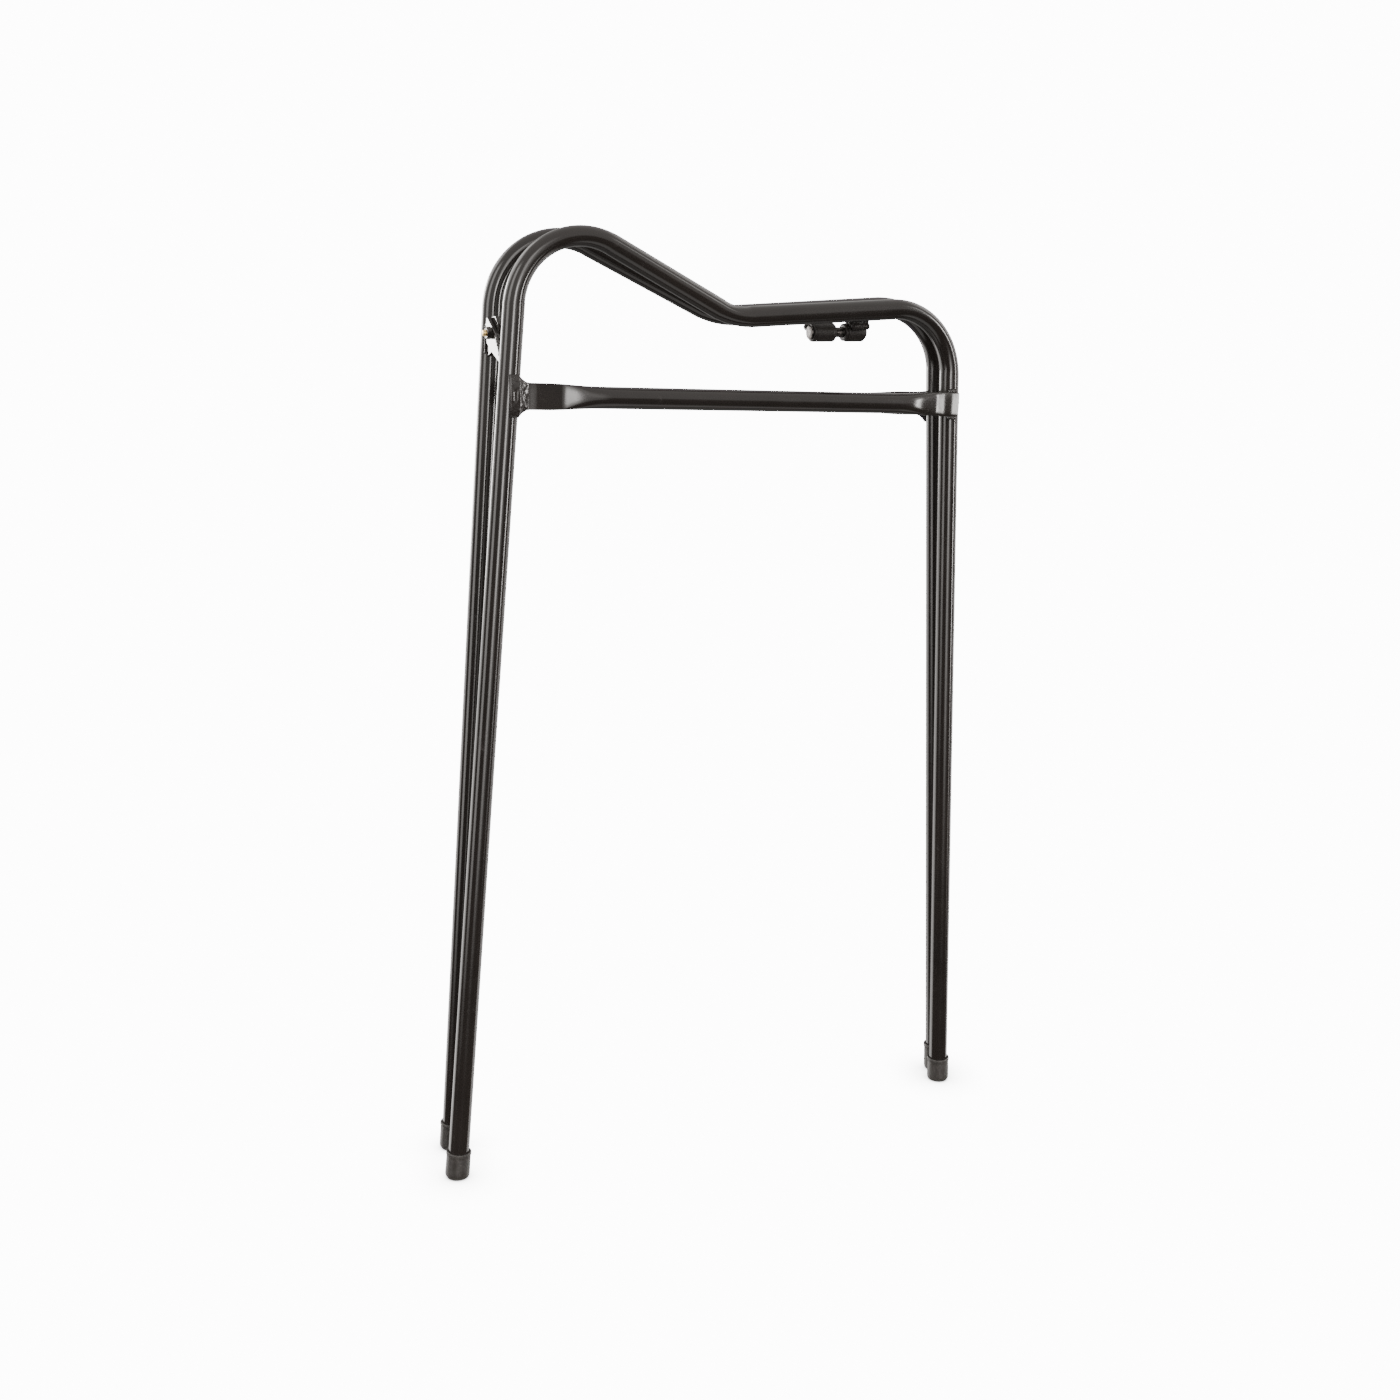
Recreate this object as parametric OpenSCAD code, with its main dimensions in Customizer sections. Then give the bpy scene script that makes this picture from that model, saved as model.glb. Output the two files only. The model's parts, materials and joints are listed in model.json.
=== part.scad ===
// Folding saddle stand: two bent tube frames hinged together at the top.
// Units are millimetres. X runs along the stand, Y is its depth, +Z is up.

/* [Frame tube] */
// outside diameter of the bent frame tube
tube_d = 20; // [16:0.5:30]
// wall thickness of the frame tube
tube_wall = 1.2; // [0.8:0.1:3]
// centre-line radius of every bend
bend_r = 66; // [40:1:100]
// distance between the two feet of one frame
foot_spacing = 568; // [400:1:800]
// how far each leg leans inwards, degrees
leg_splay = 3.4; // [0:0.1:10]
// the same for the hump leg of the rear frame, which is bent a little wider
rear_splay = 3.05; // [0:0.01:10]

/* [Saddle profile] */
// height of the pommel hump, centre line
hump_height = 892.4; // [600:0.5:1100]
// position of the low point of the seat along X
dip_x = -13.6; // [-120:1:120]
// height of the low point, centre line
dip_height = 827; // [500:0.5:1000]
// rise of the seat towards the cantle end, degrees
seat_rise = 4.77; // [0:0.1:15]

/* [Folded position] */
// centre distance of the two frames at mid length, 800 mm up
frame_gap = 53; // [40:0.5:90]
// angle between the two folded frames seen from above, degrees
frame_toe = 3.5; // [0:0.05:6]
// angle by which the frame tops lean apart when folded, degrees
frame_lean = 0.65; // [0:0.05:2]
// lengthways offset of the rear frame against the front frame
frame_offset = 8.5; // [6:0.5:20]
// how far the rear frame hangs out of square in its hinge, degrees
rear_rack = 0.3; // [0:0.05:1]
// how much higher the rear frame stands in its foot caps
rear_lift = 2.2; // [1:0.1:3]

/* [Crossbars] */
// height of the crossbar centre line
bar_height = 750.5; // [300:1:800]
// how much lower the rear crossbar is welded
rear_bar_drop = 4.5; // [0:0.5:10]
// outside diameter of the crossbar
bar_d = 20; // [14:0.5:26]
// wall thickness of the crossbar
bar_wall = 1.5; // [0.8:0.1:3]
// height of the pressed-flat bar end
flat_h = 24; // [20:0.5:30]
// thickness of the pressed-flat bar end
flat_t = 5; // [3:0.5:8]
// length of the flat on each bar end
flat_len = 36; // [20:1:60]
// length over which the bar turns from round to flat
taper_len = 34; // [15:1:60]

/* [Hinge] */
// height of the hinge axis at the left plates
pivot_height = 804.8; // [500:0.1:1000]
// X position of the hinge axis reference point at the left plates
pivot_x = -250; // [-400:0.5:-100]
// rise of the hinge axis towards the right, degrees
hinge_slope = 2.08; // [0:0.01:8]
// thickness of the hinge plates
plate_t = 3.5; // [2:0.5:6]
// slope of the front hinge plate down to its leg, degrees
front_plate_slope = 33; // [10:1:60]
// slope of the rear hinge plate down to its leg, degrees
rear_plate_slope = 17; // [5:1:60]
// upper edge of each plate, height above the bolt
front_plate_top = 7.3; // [5:0.1:20]
rear_plate_top = 16.5; // [5:0.1:20]
// lower edge of each plate, depth below the bolt
front_plate_low = 17; // [8:0.5:24]
rear_plate_low = 13.5; // [8:0.5:24]
// free gap between the two plates
plate_gap = 0.3; // [0.1:0.1:6]
// radius of the left hinge bolt shank
bolt_r = 3; // [2.5:0.5:6]
// outside diameter of the right hinge sleeves
sleeve_d = 18.5; // [14:0.5:26]
// length of the rear and of the front hinge sleeve
rear_sleeve_len = 25; // [12:0.5:40]
front_sleeve_len = 20.2; // [12:0.5:40]
// gap between the two sleeves
sleeve_gap = 13.4; // [4:0.5:30]
// position of the rear sleeve along the hinge axis
sleeve_u = 331.2; // [200:0.1:450]
// radius of the right hinge pin
pin_r = 5; // [3:0.5:7]
// running clearance of every bore, radial
fit = 0.06; // [0.02:0.01:0.1]

/* [Foot caps] */
// outside diameter of the foot caps
cap_d = 24; // [20:0.5:34]
// height of the foot caps
cap_h = 27; // [15:0.5:50]
// thickness of the cap floor
cap_floor = 4; // [2:0.5:8]

/* [Hidden] */
$fn = 96;
tube_r = tube_d / 2;
in_r = tube_r - tube_wall;
half = foot_spacing / 2;
kx = tan(leg_splay);
z1 = hump_height - bend_r;
// cantle bend: corner of the seat line and the right leg line
kr = tan(seat_rise);
xc = (half - kx * (dip_height - kr * dip_x)) / (1 + kx * kr);
zc = dip_height + kr * (xc - dip_x);
t3 = (90 - leg_splay + seat_rise) / 2;
n3 = (90 + seat_rise + leg_splay) / 2;
x3 = xc - bend_r / cos(t3) * cos(n3);
z3 = zc - bend_r / cos(t3) * sin(n3);
ex = x3 - bend_r * sin(seat_rise);
ez = z3 + bend_r * cos(seat_rise);
gx = x3 + bend_r * cos(leg_splay);
gz = z3 + bend_r * sin(leg_splay);
bar_y = -(tube_r + flat_t / 2);
leg_at_bar = half - bar_height * kx;
bar_x0 = -leg_at_bar;
bar_x1 = leg_at_bar + 3;
// stack along the hinge axis, measured from the reference point
u_front = 5;
u_rear = u_front + plate_gap + plate_t;
u_end = sleeve_u + rear_sleeve_len + sleeve_gap;
x_shift = -3.1;
foot_drop = half * sin(rear_rack);
skin = 0.04;
seat = 1;

module black() { color([0.03, 0.027, 0.025]) children(); }

// placement of the two frames and of the hinge
module at_front() {
  translate([x_shift - frame_offset / 2, -frame_gap / 2, 800])
    rotate([frame_lean / 2, 0, frame_toe / 2])
      translate([0, 0, -800])
        children();
}
module at_rear() {
  translate([x_shift + frame_offset / 2, frame_gap / 2, 800 + rear_lift])
    rotate([-frame_lean / 2, -rear_rack, -frame_toe / 2])
      translate([0, 0, -800])
        children();
}
module at_hinge() {
  translate([x_shift + pivot_x, 0, pivot_height])
    rotate([0, -hinge_slope, 0])
      children();
}
module x_cyl(x, len, r) {
  translate([x, 0, 0])
    rotate([0, 90, 0])
      cylinder(h = len, r = r);
}

// one straight run in the XZ plane, its ends reaching e0 and e1 into the bends
module run(xa, za, xb, zb, r, e0, e1) {
  dxx = xb - xa;
  dzz = zb - za;
  translate([xa, 0, za])
    rotate([0, atan2(dxx, dzz), 0])
      translate([0, 0, -e0])
        cylinder(h = sqrt(dxx * dxx + dzz * dzz) + e0 + e1, r = r);
}
// a bend is a hair thicker than the runs that end inside it
module bend(xo, zo, a0, a1, r) {
  translate([xo, 0, zo])
    rotate([90, 0, 0])
      rotate([0, 0, a0])
        rotate_extrude(angle = a1 - a0)
          translate([bend_r, 0])
            circle(r = r + skin);
}
// lo is the splay of the hump leg; the slope behind the hump follows from the corners
module path(r, low, lo) {
  x1 = -half + z1 * tan(lo) + bend_r / cos(lo);
  fall = asin(bend_r / norm([dip_x - x1, dip_height - z1]))
    - atan2(dip_height - z1, dip_x - x1);
  t2 = (fall + seat_rise) / 2;
  n2 = 90 + (seat_rise - fall) / 2;
  x2 = dip_x + bend_r / cos(t2) * cos(n2);
  z2 = dip_height + bend_r / cos(t2) * sin(n2);
  run(-half + tan(lo) * low, low, x1 - bend_r * cos(lo), z1 + bend_r * sin(lo), r, 0, seat);
  bend(x1, z1, 90 - fall, 180 - lo, r);
  run(x1 + bend_r * sin(fall), z1 + bend_r * cos(fall),
    x2 - bend_r * sin(fall), z2 - bend_r * cos(fall), r, seat, seat);
  bend(x2, z2, 270 - fall, 270 + seat_rise, r);
  run(x2 + bend_r * sin(seat_rise), z2 - bend_r * cos(seat_rise), ex, ez, r, seat, seat);
  bend(x3, z3, leg_splay, 90 + seat_rise, r);
  run(half - kx * low, low, gx, gz, r, 0, seat);
}
module frame_tube(lo) {
  difference() {
    path(tube_r, cap_floor, lo);
    path(in_r, cap_floor - 3, lo);
  }
}

// crossbar: round middle, both ends pressed flat with a narrow slit left in them
module bar() {
  difference() {
    union() {
      x_cyl(bar_x0 + flat_len + taper_len, bar_x1 - bar_x0 - 2 * (flat_len + taper_len),
        bar_d / 2);
      bar_end();
      translate([bar_x0 + bar_x1, 0, 0])
        mirror([1, 0, 0])
          bar_end();
    }
    x_cyl(bar_x0 + flat_len + taper_len - 1,
      bar_x1 - bar_x0 - 2 * (flat_len + taper_len) + 2, bar_d / 2 - bar_wall);
    translate([bar_x0 - 1, -0.5, -flat_h / 2 + 4])
      cube([bar_x1 - bar_x0 + 2, 1, flat_h - 8]);
  }
}
module bar_end() {
  xa = bar_x0;
  xb = bar_x0 + flat_len;
  xe = bar_x0 + flat_len + taper_len;
  rr = bar_d / 2 - 0.3;
  intersection() {
    x_cyl(xa - 1, flat_len + taper_len + 2, flat_h / 2 + 0.6);
    linear_extrude(height = 40, center = true)
      polygon([[xa, -flat_t / 2], [xb, -flat_t / 2], [xe, -rr],
        [xe, rr], [xb, flat_t / 2], [xa, flat_t / 2]]);
    rotate([90, 0, 0])
      linear_extrude(height = 40, center = true)
        polygon([[xa - 2, -flat_h / 2], [xb, -flat_h / 2], [xe + 2, -rr - 0.2],
          [xe + 2, rr + 0.2], [xb, flat_h / 2], [xa - 2, flat_h / 2]]);
  }
}
module at_bar(drop) {
  translate([-drop * kx, bar_y, bar_height - drop])
    children();
}

// weld beads, cut back from the pieces they join; over is their reach above the bar centre
module bar_left_weld(drop, over) {
  difference() {
    translate([bar_x0 - drop * kx - 1.5, -tube_r - 0.5, bar_height - drop - 19])
      cylinder(h = 19 + over, r = 4.5);
    path(tube_r, cap_floor, leg_splay);
    at_bar(drop)
      translate([0, -flat_t / 2, -flat_h / 2])
        translate([bar_x0, 0, 0])
          cube([flat_len, flat_t + 0.8, flat_h]);
  }
}
module lap_bead(up, lo, drop) {
  z = bar_height - drop;
  leg = half - z * tan(lo);
  difference() {
    translate([leg - 8, bar_y + 2.3, z + up * (flat_h / 2 + 1.1)])
      rotate([0, 90, 0])
        rotate([0, 0, 37])
          cylinder(h = lo == leg_splay ? 10 : 5.5, r = 3);
    run(half - tan(lo) * 600, 600, half - tan(lo) * 780, 780, tube_r, 0, 0);
    translate([bar_x1 - flat_len, bar_y - flat_t / 2 - 1, z - flat_h / 2])
      cube([flat_len + 2, flat_t + 2.5, flat_h]);
  }
}
module bar_right_weld(lo, drop) {
  lap_bead(1, lo, drop);
  lap_bead(-1, lo, drop);
}

// left hinge: one plate per frame, cut to sit against its leg, pinned by a bolt
leg_y = frame_gap / 2 - pivot_x * sin(frame_toe / 2);
// outlines are (depth from the bolt, height above the bolt)
module front_strip() {
  k = tan(front_plate_slope);
  top = front_plate_top;
  low = front_plate_low;
  out = leg_y - 2;
  translate([u_front - plate_t, 0, 0])
    rotate([90, 0, 90])
      linear_extrude(height = plate_t)
        polygon([[-out, -top - k * out + 14.6], [10.5, top + k * 10.5],
          [13, top + k * 8.5], [15, 4], [13.5, k * 12 - low], [0, -low],
          [-19, -low - 8.3], [-out, -low - 8.3]]);
}
module rear_strip() {
  k = tan(rear_plate_slope);
  top = rear_plate_top;
  low = rear_plate_low;
  out = leg_y - 2;
  translate([u_rear - plate_t, 0, 0])
    rotate([90, 0, 90])
      linear_extrude(height = plate_t)
        polygon([[out, top - k * out], [6, top - k * 6], [-2, top - k * 5], [-8, 8],
          [-9, 0], [-4, k * 3 - low], [out, -low - k * out]]);
}
module front_frame_tube() {
  black() at_front() frame_tube(leg_splay);
}
module rear_frame_tube() {
  black() at_rear() frame_tube(rear_splay);
}
module front_crossbar() {
  black() at_front() at_bar(0) bar();
}
module rear_crossbar() {
  black() at_rear() rotate([0, 0, 180]) at_bar(rear_bar_drop) bar();
}
module leg_stub(lo) {
  top = z1 + bend_r * sin(lo);
  run(-half + tan(lo) * 640, 640, -half + tan(lo) * top, top, tube_r, 0, 0);
}
module front_hinge_plate() {
  black()
    difference() {
      at_hinge()
        difference() {
          front_strip();
          x_cyl(-5, 20, bolt_r + fit);
        }
      at_front() leg_stub(leg_splay);
    }
}
module rear_hinge_plate() {
  black()
    difference() {
      at_hinge()
        difference() {
          rear_strip();
          x_cyl(-5, 20, bolt_r + fit);
        }
      at_rear() leg_stub(rear_splay);
    }
}
module sleeve(len) {
  difference() {
    rotate([90, 0, 90])
      rotate_extrude()
        polygon([[0, 0], [sleeve_d / 2 - 2, 0], [sleeve_d / 2, 2],
          [sleeve_d / 2, len - 2], [sleeve_d / 2 - 2, len], [0, len]]);
    x_cyl(-1, len + 2, pin_r + fit);
  }
}
module rear_hinge_sleeve() {
  black() at_hinge() translate([sleeve_u, 0, 0]) sleeve(rear_sleeve_len);
}
module front_hinge_sleeve() {
  black() at_hinge() translate([u_end, 0, 0]) sleeve(front_sleeve_len);
}
module left_hinge_bolt() {
  color([0.72, 0.6, 0.3])
    at_hinge() {
      x_cyl(u_front - plate_t - 8, u_rear - u_front + plate_t + 10, bolt_r);
      translate([u_rear + 1.3, 0, 0])
        rotate([0, 90, 0])
          cylinder(h = 4, r = 5.77, $fn = 6);
    }
}
module left_hinge_nut() {
  color([0.1, 0.1, 0.11])
    at_hinge()
      difference() {
        translate([u_front - plate_t - 5, 0, 0])
          rotate([0, 90, 0])
            cylinder(h = 5, r = 5.77, $fn = 6);
        x_cyl(u_front - plate_t - 6, 7, bolt_r);
      }
}
module ring(x, t, ro, ri) {
  difference() {
    x_cyl(x, t, ro);
    x_cyl(x - 1, t + 2, ri);
  }
}
module left_head_washer() {
  color([0.6, 0.6, 0.62]) at_hinge() ring(u_rear + 0.3, 1, 6.2, bolt_r + 0.2);
}
module right_hinge_pin() {
  color([0.1, 0.1, 0.11])
    at_hinge() {
      x_cyl(sleeve_u - 2.3, u_end - sleeve_u + front_sleeve_len + 4.3, pin_r);
      x_cyl(sleeve_u - 2.3, 2, 7);
      x_cyl(u_end + front_sleeve_len, 2, 7);
    }
}
module right_pin_washer() {
  black() at_hinge() ring(u_end - 2.5, 2.5, 8.5, pin_r + 0.2);
}

// rubber foot cap, its underside flat on the floor; low is how far it reaches down
module cap(side, low, lo) {
  translate([side * half, 0, 0])
    rotate([0, -side * lo, 0])
      difference() {
        rotate_extrude()
          polygon([[0, low - 3], [cap_d / 2 - 2.4, low - 3], [cap_d / 2 - 2.4, low + 0.2],
            [cap_d / 2 - 1.6, low + 0.6], [cap_d / 2 - 0.4, low + 2],
            [cap_d / 2, low + 3.4], [cap_d / 2 - 0.2, cap_h - 3.4],
            [cap_d / 2 + 0.3, cap_h - 2.8], [cap_d / 2 + 0.3, cap_h - 0.4],
            [cap_d / 2 - 0.1, cap_h], [0, cap_h]]);
        translate([0, 0, cap_floor - 0.7])
          cylinder(h = cap_h + 10, r = tube_r + 0.05);
      }
}
module front_cap(side) {
  rubber()
    difference() {
      at_front() cap(side, 0, leg_splay);
      translate([-400, -100, -20])
        cube([800, 200, 20]);
    }
}
module rear_cap(side) {
  rubber()
    difference() {
      at_rear() cap(side, -rear_lift - side * foot_drop, side < 0 ? rear_splay : leg_splay);
      translate([-400, -100, -20])
        cube([800, 200, 20]);
    }
}
module rubber() { color([0.06, 0.058, 0.055]) children(); }
module front_left_foot_cap() { front_cap(-1); }
module front_right_foot_cap() { front_cap(1); }
module rear_left_foot_cap() { rear_cap(-1); }
module rear_right_foot_cap() { rear_cap(1); }
module front_bar_left_weld() { black() at_front() bar_left_weld(0, 19); }
module front_bar_right_weld() { black() at_front() bar_right_weld(leg_splay, 0); }
module rear_bar_right_weld() {
  black() at_rear() rotate([0, 0, 180]) bar_left_weld(rear_bar_drop, 13.5);
}
module rear_bar_left_weld() {
  black() at_rear() rotate([0, 0, 180]) bar_right_weld(rear_splay, rear_bar_drop);
}

// bead where a hinge plate meets its leg
module plate_bead(side, u) {
  at_hinge()
    translate([u - plate_t / 2, side * (leg_y - 8), side < 0 ? -24 : -17])
      rotate([0, hinge_slope + leg_splay, 0])
        cylinder(h = 24, r = 4);
}
module front_plate_weld() {
  black()
    difference() {
      plate_bead(-1, u_front);
      at_front() leg_stub(leg_splay);
      at_hinge() front_strip();
    }
}
module rear_plate_weld() {
  black()
    difference() {
      plate_bead(1, u_rear - 4.8);
      at_rear() leg_stub(rear_splay);
      at_hinge() rear_strip();
    }
}
// bead that fills the corner between a hinge sleeve and its own top tube
module sleeve_bead(side, u, len) {
  at_hinge()
    translate([u + 2.5, side * 11.6, 9.9])
      x_cyl(0, len - 5, 7);
}
module seat_run() {
  run(20, dip_height + kr * (20 - dip_x), ex, ez, tube_r, 0, 0);
}
module front_sleeve_weld() {
  black()
    difference() {
      sleeve_bead(-1, u_end, front_sleeve_len);
      at_front() seat_run();
      at_hinge() x_cyl(sleeve_u, 100, sleeve_d / 2);
    }
}
module rear_sleeve_weld() {
  black()
    difference() {
      sleeve_bead(1, sleeve_u, rear_sleeve_len);
      at_rear() seat_run();
      at_hinge() x_cyl(sleeve_u - 20, 100, sleeve_d / 2);
    }
}

front_frame_tube();
rear_frame_tube();
front_crossbar();
rear_crossbar();
front_hinge_plate();
rear_hinge_plate();
front_hinge_sleeve();
rear_hinge_sleeve();
left_hinge_bolt();
left_hinge_nut();
left_head_washer();
right_hinge_pin();
right_pin_washer();
front_left_foot_cap();
front_right_foot_cap();
rear_left_foot_cap();
rear_right_foot_cap();
front_bar_left_weld();
front_bar_right_weld();
rear_bar_left_weld();
rear_bar_right_weld();
front_plate_weld();
rear_plate_weld();
front_sleeve_weld();
rear_sleeve_weld();
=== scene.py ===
import bpy, bmesh, math, json, random
from math import radians
from mathutils import Matrix, Vector, noise


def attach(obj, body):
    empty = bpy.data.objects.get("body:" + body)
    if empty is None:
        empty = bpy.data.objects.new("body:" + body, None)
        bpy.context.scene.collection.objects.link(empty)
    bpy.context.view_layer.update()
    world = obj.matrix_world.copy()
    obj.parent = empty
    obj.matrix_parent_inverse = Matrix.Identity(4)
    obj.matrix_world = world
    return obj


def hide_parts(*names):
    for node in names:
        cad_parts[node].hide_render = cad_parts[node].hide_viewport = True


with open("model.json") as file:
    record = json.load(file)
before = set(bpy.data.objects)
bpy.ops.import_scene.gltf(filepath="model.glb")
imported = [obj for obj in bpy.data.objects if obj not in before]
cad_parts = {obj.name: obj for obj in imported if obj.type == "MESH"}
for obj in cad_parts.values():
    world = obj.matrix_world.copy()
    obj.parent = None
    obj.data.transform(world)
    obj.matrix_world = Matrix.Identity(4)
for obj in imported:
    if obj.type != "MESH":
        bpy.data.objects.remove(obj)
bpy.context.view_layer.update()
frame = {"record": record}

# Folding saddle stand: the finished pieces around the CAD frame, their materials, the camera
# and the studio. Shapes are worked out in millimetres and stored in metres.

# ---- design numbers in millimetres, the same as in part.scad
TUBE_R = 10.0
BEND_R = 66.0
FOOT_X = 284.0                  # half the distance between the feet of one frame
LEG_SPLAY = radians(3.4)
REAR_SPLAY = radians(3.05)      # of the hump leg of the rear frame
HUMP_HEIGHT = 892.4
DIP_X = -13.6
DIP_HEIGHT = 827.0
SEAT_RISE = radians(4.77)

FRAME_GAP = 53.0
FRAME_TOE = radians(3.5)
FRAME_LEAN = radians(0.65)
FRAME_OFFSET = 8.5
REAR_RACK = radians(0.3)
REAR_LIFT = 2.2
CENTRING_X = -3.1               # brings the folded stand's box to the middle of X
TURN_HEIGHT = 800.0             # the small angles between the frames turn about this height

BAR_HEIGHT = 750.5
REAR_BAR_DROP = 4.5
BAR_R = 10.0
FLAT_H = 24.0
FLAT_T = 5.0
BAR_LAP = 3.0                   # how far the right end of the bar laps past the leg's centre
BAR_Y = -(TUBE_R + FLAT_T / 2)
LEG_AT_BAR = FOOT_X - BAR_HEIGHT * math.tan(LEG_SPLAY)

PIVOT_X = -250.0
PLATE_T = 3.5
PLATE_GAP = 0.3
U_FRONT = 5.0                   # far faces of the two plates, along the hinge axis
U_REAR = U_FRONT + PLATE_GAP + PLATE_T
LEG_Y = FRAME_GAP / 2 - PIVOT_X * math.sin(FRAME_TOE / 2)
FRONT_TILT = math.tan(radians(33))
REAR_TILT = math.tan(radians(17))
FRONT_TOP = 7.3
FRONT_LOW = 17.0
REAR_TOP = 16.5
REAR_LOW = 13.5

BOLT_R = 3.0
BOLT_OUT = 8.0                  # bolt tip beyond the front plate
NUT_ACROSS = 10.0
NUT_T = 5.0
HEAD_T = 4.0

REAR_SLEEVE = (331.2, 356.2)    # both sleeves' ends along the hinge axis
FRONT_SLEEVE = (369.6, 389.8)
SLEEVE_R = 9.25
SLEEVE_BORE = 5.06

CAP_R = 12.0
CAP_H = 27.0


# ---- where things stand
def place(dx, dy, dz, rx, ry, rz):
    """shift and turn a frame about its mid length at TURN_HEIGHT"""
    return (Matrix.Translation((dx, dy, TURN_HEIGHT + dz)) @ Matrix.Rotation(rz, 4, "Z")
            @ Matrix.Rotation(ry, 4, "Y") @ Matrix.Rotation(rx, 4, "X")
            @ Matrix.Translation((0, 0, -TURN_HEIGHT)))


def hinge_matrix():
    """hinge axes of the record: u along the axis, y across it, n upwards"""
    joint = frame["record"]["behaviour"]["joints"][0]
    along = Vector(joint["axis"]).normalized()
    upwards = along.cross(Vector((0, 1, 0))).normalized()
    matrix = Matrix((along, (0, 1, 0), upwards)).transposed().to_4x4()
    matrix.translation = Vector(joint["pos_m"]) * 1000
    return matrix


FRONT = place(CENTRING_X - FRAME_OFFSET / 2, -FRAME_GAP / 2, 0,
              FRAME_LEAN / 2, 0, FRAME_TOE / 2)
REAR = place(CENTRING_X + FRAME_OFFSET / 2, FRAME_GAP / 2, REAR_LIFT,
             -FRAME_LEAN / 2, -REAR_RACK, -FRAME_TOE / 2)
HINGE = hinge_matrix()
# the rear crossbar is the front one turned round and welded lower
REAR_BAR = REAR @ (Matrix.Rotation(math.pi, 4, "Z") @ Matrix.Translation(
    (-REAR_BAR_DROP * math.tan(LEG_SPLAY), 0, -REAR_BAR_DROP)))
TO_METRES = Matrix.Scale(0.001, 4)


# ---- mesh helpers
def new_obj(name, bm, matrix, body, material, nodes=(), angle=None):
    """one finished piece: millimetre mesh placed by matrix, riding on a body"""
    bmesh.ops.recalc_face_normals(bm, faces=bm.faces)
    mesh = bpy.data.meshes.new(name)
    bm.to_mesh(mesh)
    bm.free()
    mesh.transform(TO_METRES @ matrix)
    mesh.update()
    for polygon in mesh.polygons:
        polygon.use_smooth = True
    piece = bpy.data.objects.new(name, mesh)
    bpy.context.scene.collection.objects.link(piece)
    if angle is not None:
        mesh.set_sharp_from_angle(angle=radians(angle))
    mesh.materials.append(material)
    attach(piece, body)
    if nodes:
        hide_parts(*nodes)
    return piece


def circle(count):
    """(cosine, sine) of equal steps round a full turn"""
    turns = [2 * math.pi * k / count for k in range(count)]
    return [(math.cos(a), math.sin(a)) for a in turns]


def rings_to_mesh(bm, rings, close_end=True, loop=False):
    """skin over rings of equal length; loop joins the last ring to the first"""
    verts = [[bm.verts.new(p) for p in ring] for ring in rings]
    count = len(verts[0])
    last = len(verts) if loop else len(verts) - 1
    for i in range(last):
        a, b = verts[i], verts[(i + 1) % len(verts)]
        for k in range(count):
            bm.faces.new((a[k], a[(k + 1) % count], b[(k + 1) % count], b[k]))
    if not loop:
        bm.faces.new(list(reversed(verts[0])))
        if close_end:
            bm.faces.new(verts[-1])


def turned(bm, profile, segs=64, closed=False):
    """turned part about the hinge axis (u) from a list of (u, radius)"""
    rings = [[(u, r * c, r * s) for c, s in circle(segs)] for u, r in profile]
    rings_to_mesh(bm, rings, loop=closed)


def soften(piece, width):
    """rounded edges, width in millimetres"""
    bevel = piece.modifiers.new("bevel", "BEVEL")
    bevel.width = width / 1000
    bevel.segments = 3
    bevel.limit_method = "ANGLE"
    bevel.angle_limit = radians(35)
    bevel.harden_normals = True


def ease(t):
    """smooth step from 0 to 1, level at both ends"""
    t = min(max(t, 0.0), 1.0)
    return t * t * (3 - 2 * t)


def power(value, exponent):
    """value raised to exponent, its sign kept"""
    return math.copysign(abs(value) ** exponent, value)


# ---- bent tube
TUBE_END = 4                    # the tube ends this high inside its foot cap
TUBE_SEGS = 56
THINNER, WIDER = 0.075, 0.02    # how far a bend goes oval, as shares of the radius
SHORTEST_STEP = 0.4             # rings closer together than this are left out


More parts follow.
